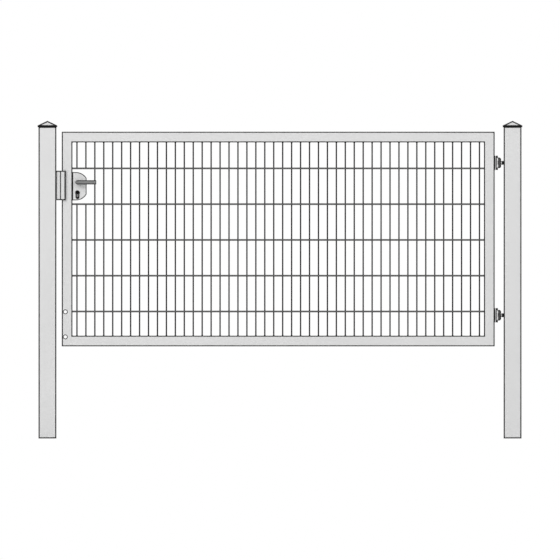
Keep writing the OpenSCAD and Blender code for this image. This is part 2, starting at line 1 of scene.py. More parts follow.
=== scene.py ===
import math
import bmesh
import bpy
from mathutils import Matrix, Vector


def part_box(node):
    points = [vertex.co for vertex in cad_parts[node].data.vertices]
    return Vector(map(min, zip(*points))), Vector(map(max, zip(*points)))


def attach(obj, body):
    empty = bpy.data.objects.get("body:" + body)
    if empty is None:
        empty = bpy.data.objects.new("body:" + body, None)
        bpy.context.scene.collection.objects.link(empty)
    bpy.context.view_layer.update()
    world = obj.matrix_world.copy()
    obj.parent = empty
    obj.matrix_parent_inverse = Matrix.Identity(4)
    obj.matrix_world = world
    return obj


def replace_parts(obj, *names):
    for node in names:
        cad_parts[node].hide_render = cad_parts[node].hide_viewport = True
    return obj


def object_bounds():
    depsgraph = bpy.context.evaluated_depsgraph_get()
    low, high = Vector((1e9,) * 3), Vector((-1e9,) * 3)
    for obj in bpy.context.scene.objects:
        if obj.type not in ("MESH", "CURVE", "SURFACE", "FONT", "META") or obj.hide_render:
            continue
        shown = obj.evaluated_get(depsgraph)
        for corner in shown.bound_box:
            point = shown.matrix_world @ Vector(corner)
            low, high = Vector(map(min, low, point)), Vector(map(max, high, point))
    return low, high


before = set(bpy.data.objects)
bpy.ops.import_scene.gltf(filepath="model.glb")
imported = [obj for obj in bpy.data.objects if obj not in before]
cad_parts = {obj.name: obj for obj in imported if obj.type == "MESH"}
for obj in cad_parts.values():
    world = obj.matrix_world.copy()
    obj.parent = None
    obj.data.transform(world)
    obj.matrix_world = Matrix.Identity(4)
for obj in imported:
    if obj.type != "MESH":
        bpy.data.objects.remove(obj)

cadLow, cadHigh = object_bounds()
print("frame loaded:", len(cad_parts), "nodes")

mm = 0.001
sideways = Vector((1, 0, 0))
upwards = Vector((0, 0, 1))
lineSoft = 0.3 * mm  # how softly a painted line ends
edgeFade = 0.15  # share of a dark edge's width over which it fades out
noiseSpan = (0.3, 0.7)  # most of a noise texture lies between these


# mesh helpers

def makePiece(name, mesh, body, material, smoothAngle=40):
    # turns a filled bmesh into a piece that rides on a body
    bmesh.ops.recalc_face_normals(mesh, faces=mesh.faces)
    data = bpy.data.meshes.new(name)
    mesh.to_mesh(data)
    mesh.free()
    data.shade_smooth()
    data.set_sharp_from_angle(angle=math.radians(smoothAngle))
    data.materials.append(material)
    piece = bpy.data.objects.new(name, data)
    bpy.context.scene.collection.objects.link(piece)
    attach(piece, body)
    return piece


def sideAxes(axis):
    # two unit directions square to an axis; the helper is any direction well away from it
    helper = upwards if abs(axis.z) < 0.9 else sideways
    first = axis.cross(helper).normalized()
    return first, axis.cross(first).normalized()


def turnAngles(sides):
    return [2 * math.pi * i / sides for i in range(sides)]


def ringPoint(centre, across, over, angle, radius):
    return centre + (across * math.cos(angle) + over * math.sin(angle)) * radius


def addRings(mesh, rings, endless=False):
    # skins a list of rings, each a list of points; caps both ends unless the last meets the first
    loops = [[mesh.verts.new(point) for point in ring] for ring in rings]
    count = len(loops[0])
    following = loops[1:] + loops[:1] if endless else loops[1:]
    for near, far in zip(loops, following):
        for i in range(count):
            j = (i + 1) % count
            mesh.faces.new((near[i], near[j], far[j], far[i]))
    if not endless:
        mesh.faces.new(loops[0])
        mesh.faces.new(list(reversed(loops[-1])))


def addTurned(mesh, foot, axis, profile, sides, endless=False):
    # a turned shape: profile is a list of (distance along the axis, radius)
    across, over = sideAxes(axis)
    rings = []
    for along, radius in profile:
        centre = foot + axis * along
        rings.append([ringPoint(centre, across, over, angle, radius) for angle in turnAngles(sides)])
    addRings(mesh, rings, endless)


def addSweep(mesh, centres, radii, sides):
    # a round bar through a row of centres, with a radius at each
    rings = []
    for i, centre in enumerate(centres):
        before = centres[max(i - 1, 0)]
        after = centres[min(i + 1, len(centres) - 1)]
        across, over = sideAxes((after - before).normalized())
        rings.append([ringPoint(centre, across, over, angle, radii[i]) for angle in turnAngles(sides)])
    addRings(mesh, rings)


def hexRadius(flats, angle):
    # distance from the middle of a hexagon to its rim
    return flats / 2 / math.cos((angle + math.pi / 6) % (math.pi / 3) - math.pi / 6)


headLook = {
    "sides": 36, "chamferShare": 0.96, "chamferAngle": math.radians(30),
    # a socket head's steps, as shares of its height and of its radius
    "dome": [(0.0, 1.0), (0.45, 1.0), (0.8, 0.86), (1.0, 0.62)], "socketFloor": 0.35,
}


def addHexHead(mesh, foot, axis, flats, height):
    # hexagon head whose corners are turned off to a chamfer
    across, over = sideAxes(axis)
    chamferFrom = flats / 2 * headLook["chamferShare"]
    slope = math.tan(headLook["chamferAngle"])
    base, wall, crown = [], [], []
    for angle in turnAngles(headLook["sides"]):
        radius = hexRadius(flats, angle)
        drop = (radius - chamferFrom) * slope
        base.append(ringPoint(foot, across, over, angle, radius))
        wall.append(ringPoint(foot + axis * (height - drop), across, over, angle, radius))
        crown.append(ringPoint(foot + axis * height, across, over, angle, chamferFrom))
    addRings(mesh, [base, wall, crown])


def addSocketHead(mesh, foot, axis, radius, height, socketFlats):
    # round head with a domed rim and a hexagon socket
    across, over = sideAxes(axis)
    angles = turnAngles(headLook["sides"])
    rings = []
    for heightShare, radiusShare in headLook["dome"]:
        centre = foot + axis * height * heightShare
        rings.append([ringPoint(centre, across, over, angle, radius * radiusShare) for angle in angles])
    for heightShare in (1.0, headLook["socketFloor"]):
        centre = foot + axis * height * heightShare
        rings.append([ringPoint(centre, across, over, angle, hexRadius(socketFlats, angle))
                      for angle in angles])
    addRings(mesh, rings)


def addBlob(mesh, centre, size, rows=4, sides=8):
    # a squashed ball with half widths size.x, size.y, size.z
    rings = []
    for row in range(1, rows):
        polar = math.pi * row / rows
        ring = []
        for angle in turnAngles(sides):
            ring.append(centre + Vector((size.x * math.sin(polar) * math.cos(angle),
                                         size.y * math.sin(polar) * math.sin(angle),
                                         size.z * math.cos(polar))))
        rings.append(ring)
    addRings(mesh, rings)


# material helpers

def startMaterial(name):
    material = bpy.data.materials.new(name)
    material.use_nodes = True
    tree = material.node_tree
    return material, tree, tree.nodes["Principled BSDF"]


def addNode(tree, kind, inputs=None, **settings):
    node = tree.nodes.new(kind)
    for key, value in settings.items():
        setattr(node, key, value)
    for key, value in (inputs or {}).items():
        if isinstance(value, bpy.types.NodeSocket):
            tree.links.new(value, node.inputs[key])
        else:
            node.inputs[key].default_value = value
    return node


def mathStep(tree, operation, first, second=0.0):
    return addNode(tree, "ShaderNodeMath", {0: first, 1: second}, operation=operation).outputs[0]


def vectorStep(tree, operation, first, second=(0, 0, 0)):
    return addNode(tree, "ShaderNodeVectorMath", {0: first, 1: second}, operation=operation).outputs[0]


def lengthOf(tree, vector):
    return addNode(tree, "ShaderNodeVectorMath", {0: vector}, operation="LENGTH").outputs["Value"]


def separate(tree, vector):
    return addNode(tree, "ShaderNodeSeparateXYZ", {0: vector}).outputs


def objectSpot(tree):
    return addNode(tree, "ShaderNodeTexCoord").outputs["Object"]


def noiseAt(tree, spot, scale, detail):
    inputs = {"Vector": spot, "Scale": scale, "Detail": detail}
    return addNode(tree, "ShaderNodeTexNoise", inputs).outputs["Fac"]


def spread(tree, value, low, high, lowOut=0.0, highOut=1.0):
    inputs = {"Value": value, "From Min": low, "From Max": high, "To Min": lowOut, "To Max": highOut}
    return addNode(tree, "ShaderNodeMapRange", inputs, interpolation_type="SMOOTHSTEP").outputs[0]


def mixColours(tree, amount, first, second):
    node = addNode(tree, "ShaderNodeMix", {0: amount}, data_type="RGBA")
    for socket, colour in ((6, first), (7, second)):
        if isinstance(colour, bpy.types.NodeSocket):
            tree.links.new(colour, node.inputs[socket])
        else:
            node.inputs[socket].default_value = (*colour, 1)
    return node.outputs[2]


def grey(level):
    return (level, level, level)


def addBump(tree, shader, height, strength, distance):
    bump = addNode(tree, "ShaderNodeBump", {"Height": height, "Strength": strength, "Distance": distance})
    tree.links.new(bump.outputs[0], shader.inputs["Normal"])


def boxEdges(tree, spot, low, high, widths):
    # 1 along the edges of a box: two of its faces lie nearer there than the width for that direction
    centre = (low + high) / 2
    half = (high - low) / 2
    fromCentre = vectorStep(tree, "ABSOLUTE", vectorStep(tree, "SUBTRACT", spot, tuple(centre)))
    depth = vectorStep(tree, "SUBTRACT", tuple(half), fromCentre)
    parts = separate(tree, vectorStep(tree, "DIVIDE", depth, widths))
    nearer = mathStep(tree, "MINIMUM", parts[0], parts[1])
    further = mathStep(tree, "MAXIMUM", parts[0], parts[1])
    second = mathStep(tree, "MAXIMUM", nearer, mathStep(tree, "MINIMUM", further, parts[2]))
    return spread(tree, second, 1 - edgeFade, 1.0, 1.0, 0.0)


def riseAt(tree, value, limit, soft=lineSoft):
    # 0 below a limit, 1 above it
    return spread(tree, value, limit - soft, limit + soft)


def fallAt(tree, value, limit, soft=lineSoft):
    # 1 below a limit, 0 above it
    return spread(tree, value, limit - soft, limit + soft, 1.0, 0.0)


def band(tree, value, low, high):
    # 1 where value lies between low and high
    return mathStep(tree, "MULTIPLY", riseAt(tree, value, low), fallAt(tree, value, high))


def offMiddle(tree, value, middle):
    # how far value lies from the middle, to either side
    return mathStep(tree, "ABSOLUTE", mathStep(tree, "SUBTRACT", value, middle))


def awayFrom(tree, spot, centre):
    # how far a point lies from an axis along Y through the centre
    aside = vectorStep(tree, "MULTIPLY", vectorStep(tree, "SUBTRACT", spot, tuple(centre)), (1, 0, 1))
    return lengthOf(tree, aside)


def coatSurface(tree, shader, spot, colour, look):
    # satin coat: faint clouding, orange peel, roughness that varies a little
    clouds = noiseAt(tree, spot, look["cloudScale"], detail=4.0)
    tint = spread(tree, clouds, *noiseSpan, 1 - look["cloudDepth"], 1 + look["cloudDepth"])
    specks = noiseAt(tree, spot, look["speckScale"], detail=2.0)
    specks = spread(tree, specks, *look["speckRange"], 1.0, 1 - look["speckDepth"])
    tint = mathStep(tree, "MULTIPLY", tint, specks)
    scaled = vectorStep(tree, "SCALE", colour)
    tree.links.new(tint, scaled.node.inputs["Scale"])
    tree.links.new(scaled, shader.inputs["Base Color"])
    patches = noiseAt(tree, spot, look["roughScale"], detail=3.0)
    rough = spread(tree, patches, *noiseSpan, look["roughLow"], look["roughHigh"])
    tree.links.new(rough, shader.inputs["Roughness"])
    peel = noiseAt(tree, spot, look["peelScale"], detail=2.0)
    addBump(tree, shader, peel, look["peelStrength"], look["peelDepth"])


def dress(nodeName, material):
    # gives a carried-over node its material
    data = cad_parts[nodeName].data
    data.materials.clear()
    data.materials.append(material)


# light grey coat: posts, leaf frame, lock case and keeper

coatLook = {
    "tone": 0.70, "edgeShadeTone": 0.015, "gloss": 0.5, "edgeShadeGloss": 0.06,
    "cloudScale": 3.0, "cloudDepth": 0.015,
    "speckScale": 420.0, "speckRange": (0.64, 0.72), "speckDepth": 0.05,
    "roughScale": 14.0, "roughLow": 0.42, "roughHigh": 0.52,
    "peelScale": 700.0, "peelStrength": 0.3, "peelDepth": 0.4 * mm,
    "scuffScale": 60.0, "scuffRange": (0.25, 0.5), "scuffDepth": 0.03,
}


def holeRim(tree, spot, centre):
    # 1 in a ring round a drilled hole: painted shade at its edge
    radius, width = dropHoles["radius"], dropHoles["rimWidth"]
    fadeFrom, fadeTo = [radius + width * share for share in dropHoles["rimFade"]]
    return spread(tree, awayFrom(tree, spot, centre), fadeFrom, fadeTo, 1.0, 0.0)


def finishCoat(tree, shader, spot, edge):
    # painted shade along the edges shows dark and dull, broken up a little by scuffs
    scuffs = noiseAt(tree, spot, coatLook["scuffScale"], detail=4.0)
    scuffs = spread(tree, scuffs, *coatLook["scuffRange"], 1 - coatLook["scuffDepth"], 1.0)
    # the edge mask is painted shade; the scuffs are wear that lightens it in places
    edgeShadeAndScuffs = mathStep(tree, "MULTIPLY", edge, scuffs)
    colour = mixColours(tree, edgeShadeAndScuffs, grey(coatLook["tone"]), grey(coatLook["edgeShadeTone"]))
    coatSurface(tree, shader, spot, colour, coatLook)
    gloss = spread(tree, edgeShadeAndScuffs, 0.0, 1.0, coatLook["gloss"], coatLook["edgeShadeGloss"])
    tree.links.new(gloss, shader.inputs["Specular IOR Level"])


def greyCoat(name, low, high, edgeWidths, holes=(), capShadowFrom=None):
    material, tree, shader = startMaterial(name)
    spot = objectSpot(tree)
    edge = boxEdges(tree, spot, low, high, edgeWidths)
    for centre in holes:
        edge = mathStep(tree, "MAXIMUM", edge, holeRim(tree, spot, centre))
    # painted shadow: the post turns dark above this height, under its cap
    if capShadowFrom is not None:
        edge = mathStep(tree, "MAXIMUM", edge, riseAt(tree, separate(tree, spot)[2], capShadowFrom))
    finishCoat(tree, shader, spot, edge)
    return material


# how wide the painted edge shade runs, in millimetres from a face square to X, Y and Z
coatEdgeShade = {
    "latch_post": (7.5, 7.5, 7.5), "hinge_post": (7.5, 7.5, 7.5),
    "top_rail": (0.1, 6.5, 6.5), "bottom_rail": (0.1, 6.5, 6.5),
    "latch_stile": (7.0, 7.0, 0.1), "hinge_stile": (7.0, 7.0, 0.1),
    "keeper_channel": (2.5, 3.0, 7.0), "keeper_stop": (4.5, 3.0, 7.0),
}
capShadowDepth = 3.5 * mm  # painted shadow on a post this far down from its cap
dropHoles = {
    "inset": 20 * mm, "heights": [53 * mm, 193 * mm], "radius": 9 * mm,
    "rimWidth": 5 * mm, "rimFade": (0.8, 1.1),
}
stileLow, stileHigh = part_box("latch_stile")


def coatFrame():
    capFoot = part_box("hinge_post_cap")[0].z
    dropHoleSpots = [stileLow + Vector((dropHoles["inset"], 0, height)) for height in dropHoles["heights"]]
    for nodeName, widths in coatEdgeShade.items():
        low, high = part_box(nodeName)
        holes = dropHoleSpots if nodeName == "latch_stile" else ()
        capShadowFrom = capFoot - capShadowDepth if nodeName.endswith("_post") else None
        edgeWidths = [width * mm for width in widths]
        dress(nodeName, greyCoat(nodeName + "Coat", low, high, edgeWidths, holes, capShadowFrom))


coatFrame()


# lock case: the same coat, with painted edge shade round the D of its two faces

caseLow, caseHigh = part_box("lock_case")
caseShape = {
    "flat": 20 * mm, "cornerRadius": 68 * mm,
    "edgeShadeWidth": 4.2 * mm, "edgeFade": (1.05, 0.9), "seamWidth": 4 * mm,
}


def cornerReach(tree, x, height, cornerX, cornerZ):
    # how far a point lies out from the middle of a rounded corner
    pastX = mathStep(tree, "MAXIMUM", mathStep(tree, "SUBTRACT", x, cornerX), 0.0)
    pastZ = mathStep(tree, "MAXIMUM", mathStep(tree, "SUBTRACT", height, cornerZ), 0.0)
    return lengthOf(tree, addNode(tree, "ShaderNodeCombineXYZ", {0: pastX, 2: pastZ}).outputs[0])


def caseCoat():
    material, tree, shader = startMaterial("lockCaseCoat")
    spot = objectSpot(tree)
    parts = separate(tree, spot)
    height = offMiddle(tree, parts[2], (caseLow.z + caseHigh.z) / 2)
    cornerX = caseLow.x + caseShape["flat"]
    cornerZ = (caseHigh.z - caseLow.z) / 2 - caseShape["cornerRadius"]
    reach = cornerReach(tree, parts[0], height, cornerX, cornerZ)
    rounded = mathStep(tree, "SUBTRACT", reach, caseShape["cornerRadius"])
    beyond = mathStep(tree, "MAXIMUM", rounded, mathStep(tree, "SUBTRACT", parts[0], caseHigh.x))
    seamAt = caseLow.x + caseShape["seamWidth"] - caseShape["edgeShadeWidth"]
    beyond = mathStep(tree, "MAXIMUM", beyond, mathStep(tree, "SUBTRACT", seamAt, parts[0]))
    past = mathStep(tree, "SUBTRACT", mathStep(tree, "ABSOLUTE", parts[1]), caseHigh.y)
    beyond = mathStep(tree, "MINIMUM", beyond, past)
    fadeFrom, fadeTo = [-caseShape["edgeShadeWidth"] * share for share in caseShape["edgeFade"]]
    edge = spread(tree, beyond, fadeFrom, fadeTo)
    finishCoat(tree, shader, spot, edge)
    return material


dress("lock_case", caseCoat())
print("grey coat done")


# post caps, with painted shade along their hips and a painted shadow over their skirts

capLook = {
    "faceTone": 0.74, "gloss": 0.3, "capShadeTone": 0.006, "capShadeGloss": 0.05,
    "hipShadeWidth": 19 * mm, "skirtHeight": 12 * mm, "skirtSoft": 0.5 * mm,
}


def capMaterial(nodeName):
    material, tree, shader = startMaterial(nodeName + "Finish")
    low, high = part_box(nodeName)
    centre = (low + high) / 2
    spot = objectSpot(tree)
    fromCentre = vectorStep(tree, "ABSOLUTE", vectorStep(tree, "SUBTRACT", spot, (centre.x, centre.y, 0)))
    parts = separate(tree, fromCentre)
    aside = offMiddle(tree, parts[0], parts[1])
    # painted shade along the four hips
    hips = spread(tree, aside, capLook["hipShadeWidth"] * (1 - edgeFade), capLook["hipShadeWidth"], 1.0, 0.0)
    # painted shadow: the skirt dark, as the shadow gap at the cap's foot
    skirt = fallAt(tree, parts[2], low.z + capLook["skirtHeight"], capLook["skirtSoft"])
    dark = mathStep(tree, "MAXIMUM", hips, skirt)
    colour = mixColours(tree, dark, grey(capLook["faceTone"]), grey(capLook["capShadeTone"]))
    coatSurface(tree, shader, spot, colour, coatLook)
    gloss = spread(tree, dark, 0.0, 1.0, capLook["gloss"], capLook["capShadeGloss"])
    tree.links.new(gloss, shader.inputs["Specular IOR Level"])
    return material


for nodeName in ("latch_post_cap", "hinge_post_cap"):
    dress(nodeName, capMaterial(nodeName))
print("caps done")


# dark and bare metal finishes

smallPartLook = {"cloudScale": 30.0, "roughScale": 90.0, "roughSpread": 0.06}


def plainCoat(name, tone, rough, metallic=0.0, cloud=0.06, peel=0.1, grain=500.0, gloss=0.5, marks=None):
    # marks(tree, spot) gives masks, each with the tone and the gloss that show there
    material, tree, shader = startMaterial(name)
    spot = objectSpot(tree)
    roughSpread = smallPartLook["roughSpread"]
    look = dict(coatLook, cloudDepth=cloud, cloudScale=smallPartLook["cloudScale"],
                roughLow=rough - roughSpread, roughHigh=rough + roughSpread,
                roughScale=smallPartLook["roughScale"], peelScale=grain, peelStrength=peel)
    colour = grey(tone)
    shader.inputs["Metallic"].default_value = metallic
    shader.inputs["Specular IOR Level"].default_value = gloss
    shine = gloss
    for mask, markTone, markGloss in (marks(tree, spot) if marks else ()):
        colour = mixColours(tree, mask, colour, grey(markTone))
        shine = addNode(tree, "ShaderNodeMix", {0: mask, 2: shine, 3: markGloss}).outputs[0]
        tree.links.new(shine, shader.inputs["Specular IOR Level"])
    coatSurface(tree, shader, spot, colour, look)
    return material


leverLow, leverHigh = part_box("front_lever")
leverLook = {
    "gripShare": 0.57, "endWidth": 3.5 * mm,
    "edgeShadeTone": 0.006, "edgeShadeGloss": 0.1, "edgeSoft": 0.4 * mm,
}


def leverMarks(tree, spot):
    # the grip shows the coat along its front and back; painted shade darkens it above, below and at its
    # ends
    parts = separate(tree, spot)
    height = offMiddle(tree, parts[2], (leverLow.z + leverHigh.z) / 2)
    gripHalf = (leverHigh.z - leverLow.z) / 2 * leverLook["gripShare"]
    dark = riseAt(tree, height, gripHalf, leverLook["edgeSoft"])
    atEnds = band(tree, parts[0], leverLow.x + leverLook["endWidth"], leverHigh.x - leverLook["endWidth"])
    ends = mathStep(tree, "SUBTRACT", 1.0, atEnds)
    return [(mathStep(tree, "MAXIMUM", dark, ends), leverLook["edgeShadeTone"], leverLook["edgeShadeGloss"])]


plugLow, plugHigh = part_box("cylinder_plugs")
cylinderLook = {"blackRadius": 9 * mm, "blackSoft": 0.2 * mm, "blackTone": 0.006, "blackGloss": 0.05}


def cylinderMarks(tree, spot):
    # blackened round its plug
    away = awayFrom(tree, spot, (plugLow + plugHigh) / 2)
    black = fallAt(tree, away, cylinderLook["blackRadius"], cylinderLook["blackSoft"])
    return [(black, cylinderLook["blackTone"], cylinderLook["blackGloss"])]


levelWireLook = {"edgeShadeTone": 0.006, "edgeShadeGloss": 0.06, "highlightStripe": 0.62, "highlightStripeSoft": 0.08}


def levelWireMarks(tree, spot):
    # painted highlight: lighter along the front and back; painted shade: black above and below
    normal = addNode(tree, "ShaderNodeTexCoord").outputs["Normal"]
    facing = mathStep(tree, "ABSOLUTE", separate(tree, normal)[2])
    dark = riseAt(tree, facing, levelWireLook["highlightStripe"], levelWireLook["highlightStripeSoft"])
    return [(dark, levelWireLook["edgeShadeTone"], levelWireLook["edgeShadeGloss"])]


finishLooks = {
    "wire": {"name": "wireCoat", "tone": 0.006, "rough": 0.6, "gloss": 0.06},
    # the levelWire tone, lighter than the wire coat, is a painted highlight
    "levelWire": {"name": "levelWireCoat", "tone": 0.11, "rough": 0.5, "gloss": 0.25,
                  "marks": levelWireMarks},
    "rubber": {"name": "blackRubber", "tone": 0.012, "rough": 0.7, "gloss": 0.3,
               "peel": 0.3, "grain": 900.0},
    "zinc": {"name": "zincPlate", "tone": 0.50, "rough": 0.38, "metallic": 0.9, "cloud": 0.12},
    "cylinder": {"name": "cylinderNickel", "tone": 0.16, "rough": 0.4, "gloss": 0.3, "cloud": 0.05,
                 "marks": cylinderMarks},
    "blackOxide": {"name": "blackOxide", "tone": 0.004, "rough": 0.55, "gloss": 0.06},
    "blackPlastic": {"name": "blackPlastic", "tone": 0.004, "rough": 0.55, "gloss": 0.06},
    "lever": {"name": "leverCoat", "tone": 0.20, "rough": 0.38, "gloss": 0.4, "marks": leverMarks},
    "weld": {"name": "weldCoat", "tone": 0.40, "rough": 0.5},
    "rim": {"name": "caseRimCoat", "tone": 0.03, "rough": 0.45},
}
finishes = {finish: plainCoat(**look) for finish, look in finishLooks.items()}


# hinges: a zinc plate, a light boss, a dark knuckle, and a dark eye on a bright shank, with painted edge
# shade along their outlines

hingeLook = {
    "gloss": 0.4, "edgeShadeGloss": 0.06,
    "plateTone": 0.30, "plateRough": 0.45, "plateCloud": 0.12,
    "plateEdge": 2.6 * mm, "plateEdgeShadeTone": 0.02,
    "plateEnd": 27 * mm, "plateEndSoft": 0.5 * mm, "plateEndTone": 0.55, "boltShadeWidth": 4.4 * mm,
    "bossTone": 0.96, "bossThick": 8 * mm, "bossFrom": 1 * mm, "bossPast": 0.1 * mm,
    "knuckleTone": 0.055, "knuckleRough": 0.42, "knuckleGloss": 0.35, "knuckleCorner": 12 * mm,
    "knuckleEdge": 5 * mm, "knuckleEdgeShadeTone": 0.004, "footLine": 3.6 * mm,
    "eyeRough": 0.4, "eyeRadius": 9.8 * mm, "noseDepth": 4.25 * mm, "noseSoft": 0.25 * mm,
    "neckTone": 0.55, "neckRadius": 6 * mm, "neckEdge": 1.3 * mm,
}


def hingeMiddle(place):
    low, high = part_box(place + "_hinge_pin")
    return (low + high) / 2


def bossLine(place):
    # where the light boss ends and the dark knuckle begins
    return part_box(place + "_hinge_fork")[0].x + hingeLook["bossThick"] + hingeLook["bossPast"]


def plateFinish(place):
    low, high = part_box(place + "_hinge_plate")
    widths = (hingeLook["plateEdge"], hingeLook["plateEdge"], 0.1 * mm)

    def marks(tree, spot):
        parts = separate(tree, spot)
        height = offMiddle(tree, parts[2], (low.z + high.z) / 2)
        ends = riseAt(tree, height, hingeLook["plateEnd"], hingeLook["plateEndSoft"])
        # painted shade along the plate's edges, and in a band beside the bolts at each end
        edges = boxEdges(tree, spot, low, high, widths)
        boltSideAt = high.x - hingeLook["boltShadeWidth"]
        boltSide = spread(tree, parts[0], boltSideAt - lineSoft, boltSideAt)
        dark = mathStep(tree, "MAXIMUM", edges, mathStep(tree, "MULTIPLY", ends, boltSide))
        return [(ends, hingeLook["plateEndTone"], hingeLook["gloss"]),
                (dark, hingeLook["plateEdgeShadeTone"], hingeLook["edgeShadeGloss"])]

    return plainCoat(place + "HingePlateZinc", hingeLook["plateTone"], hingeLook["plateRough"],
                     cloud=hingeLook["plateCloud"], gloss=hingeLook["gloss"], marks=marks)


def forkFinish(place):
    low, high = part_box(place + "_hinge_fork")
    corner = hingeLook["knuckleCorner"]
    cornerZ = (high.z - low.z) / 2 - corner
    lineFrom = bossLine(place)

    def marks(tree, spot):
        parts = separate(tree, spot)
        height = offMiddle(tree, parts[2], (low.z + high.z) / 2)
        reach = cornerReach(tree, parts[0], height, high.x - corner, cornerZ)
        # painted shade on the knuckle's rounded rim and in a line at its foot
        rim = riseAt(tree, reach, corner - hingeLook["knuckleEdge"])
        foot = band(tree, parts[0], lineFrom, lineFrom + hingeLook["footLine"])
        dark = mathStep(tree, "MAXIMUM", rim, foot)
        boss = band(tree, parts[0], low.x + hingeLook["bossFrom"], lineFrom)
        return [(dark, hingeLook["knuckleEdgeShadeTone"], hingeLook["edgeShadeGloss"]),
                (boss, hingeLook["bossTone"], hingeLook["gloss"])]

    return plainCoat(place + "HingeForkCoat", hingeLook["knuckleTone"], hingeLook["knuckleRough"],
                     gloss=hingeLook["knuckleGloss"], marks=marks)


def eyeFinish(place):
    middle = hingeMiddle(place)
    lineFrom = bossLine(place)
    neckAt = middle.x + hingeLook["eyeRadius"]
    neckRadius = hingeLook["neckRadius"]

    def marks(tree, spot):
        parts = separate(tree, spot)
        height = offMiddle(tree, parts[2], middle.z)
        back = spread(tree, parts[0], lineFrom - lineSoft, lineFrom, 1.0, 0.0)
        # painted shade in a line beside the boss, on the eye's nose, and along the top and bottom of the
        # shank
        rim = band(tree, parts[0], lineFrom, lineFrom + hingeLook["footLine"])
        nose = riseAt(tree, parts[0], neckAt - hingeLook["noseDepth"], hingeLook["noseSoft"])
        dark = mathStep(tree, "MAXIMUM", rim, nose)
        shank = spread(tree, height, neckRadius - hingeLook["neckEdge"], neckRadius, 1.0, 0.0)
        pastEye = spread(tree, parts[0], neckAt - lineSoft, neckAt)
        neck = mathStep(tree, "MULTIPLY", pastEye, shank)
        return [(back, hingeLook["bossTone"], hingeLook["gloss"]),
                (dark, hingeLook["knuckleEdgeShadeTone"], hingeLook["edgeShadeGloss"]),
                (neck, hingeLook["neckTone"], hingeLook["gloss"])]

    return plainCoat(place + "HingeEyeFinish", hingeLook["knuckleTone"], hingeLook["eyeRough"],
                     gloss=hingeLook["gloss"], marks=marks)


nodeFinishes = {
    "keeper_buffer": "rubber", "lock_faceplate": "zinc", "spring_latch": "zinc", "dead_bolt": "zinc",
    "key_cylinder": "cylinder", "cylinder_plugs": "blackOxide",
    "front_escutcheon": "blackPlastic", "rear_escutcheon": "blackPlastic",
    "front_lever": "lever", "rear_lever": "lever", "lever_spindle": "zinc",
    "mat_front": "wire", "mat_back_wires": "wire",
}
for nodeName, finish in nodeFinishes.items():
    dress(nodeName, finishes[finish])
for place in ("upper", "lower"):
    dress(place + "_hinge_plate", plateFinish(place))
    dress(place + "_hinge_fork", forkFinish(place))
    dress(place + "_hinge_eye_bolt", eyeFinish(place))
    dress(place + "_hinge_pin", finishes["zinc"])
    dress(place + "_hinge_nuts", finishes["blackOxide"])
print("finishes done")


# wire mat: round wires, welded where they cross

matLow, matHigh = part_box("mat_front")
matLook = {
    "uprightRadius": 4 * mm, "levelRadius": 5 * mm, "sides": 14,
    "uprightPitch": 50 * mm, "levelPitch": 200 * mm,
    "cutUprights": 2,  # uprights that the lock bay cuts, counted from the latch stile
    "endChamfer": 0.5 * mm,
    "nugget": Vector((4.4, 1.9, 5.2)) * mm,
    "railWeld": Vector((6.4, 6.0, 2.6)) * mm,
    "stileWeld": Vector((2.6, 6.4, 6.8)) * mm,
    "weldRows": 6, "weldSides": 12,
}


def addWire(mesh, foot, axis, length, radius):
    chamfer = matLook["endChamfer"]
    profile = [(0.0, radius - chamfer), (chamfer, radius),
               (length - chamfer, radius), (length, radius - chamfer)]
    addTurned(mesh, foot, axis, profile, matLook["sides"])


def findUprights():
    # the uprights' places, with equal gaps left at both stiles
    pitch = matLook["uprightPitch"]
    width = matHigh.x - matLow.x
    count = int(width / pitch + 1e-6)  # the little extra keeps a whole number whole
    firstX = matLow.x + (width - (count - 1) * pitch) / 2
    return [firstX + i * pitch for i in range(count)]


def findLevels():
    # the heights of the level pairs
    low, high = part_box("mat_back_wires")
    radius, pitch = matLook["levelRadius"], matLook["levelPitch"]
    count = round((high.z - low.z - 2 * radius) / pitch) + 1
    return [low.z + radius + i * pitch for i in range(count)]


def makeUprights(uprightXs, levelZs):
    level = matLook["levelRadius"]
    rows, sides = matLook["weldRows"], matLook["weldSides"]
    mesh = bmesh.new()
    for i, x in enumerate(uprightXs):
        spans = [(matLow.z, matHigh.z)]
        if i < matLook["cutUprights"]:
            spans = [(matLow.z, levelZs[-2] + level), (levelZs[-1] - level, matHigh.z)]
        for startZ, endZ in spans:
            addWire(mesh, Vector((x, 0, startZ)), upwards, endZ - startZ, matLook["uprightRadius"])
        for z in (matLow.z, matHigh.z):
            addBlob(mesh, Vector((x, 0, z)), matLook["railWeld"], rows, sides)
    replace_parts(makePiece("matUprights", mesh, "leaf", finishes["wire"]), "mat_front")


def makeLevelWires(name, side, nodeName, uprightXs, levelZs):
    # the level wires of one side, with a weld nugget at each upright
    upright, level = matLook["uprightRadius"], matLook["levelRadius"]
    levelY = side * (upright + level)
    rows, sides = matLook["weldRows"], matLook["weldSides"]
    mesh = bmesh.new()
    for z in levelZs:
        addWire(mesh, Vector((matLow.x, levelY, z)), sideways, matHigh.x - matLow.x, level)
        for x in uprightXs:
            addBlob(mesh, Vector((x, side * upright, z)), matLook["nugget"])
        for x in (matLow.x, matHigh.x):
            addBlob(mesh, Vector((x, levelY, z)), matLook["stileWeld"], rows, sides)
    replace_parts(makePiece(name, mesh, "leaf", finishes["levelWire"]), nodeName)


uprightXs = findUprights()
levelZs = findLevels()
makeUprights(uprightXs, levelZs)
makeLevelWires("matFrontWires", -1, "mat_front", uprightXs, levelZs)
makeLevelWires("matBackWires", 1, "mat_back_wires", uprightXs, levelZs)
print("mat done")


# hinges: bolts through the plates, and washers beside the eyes

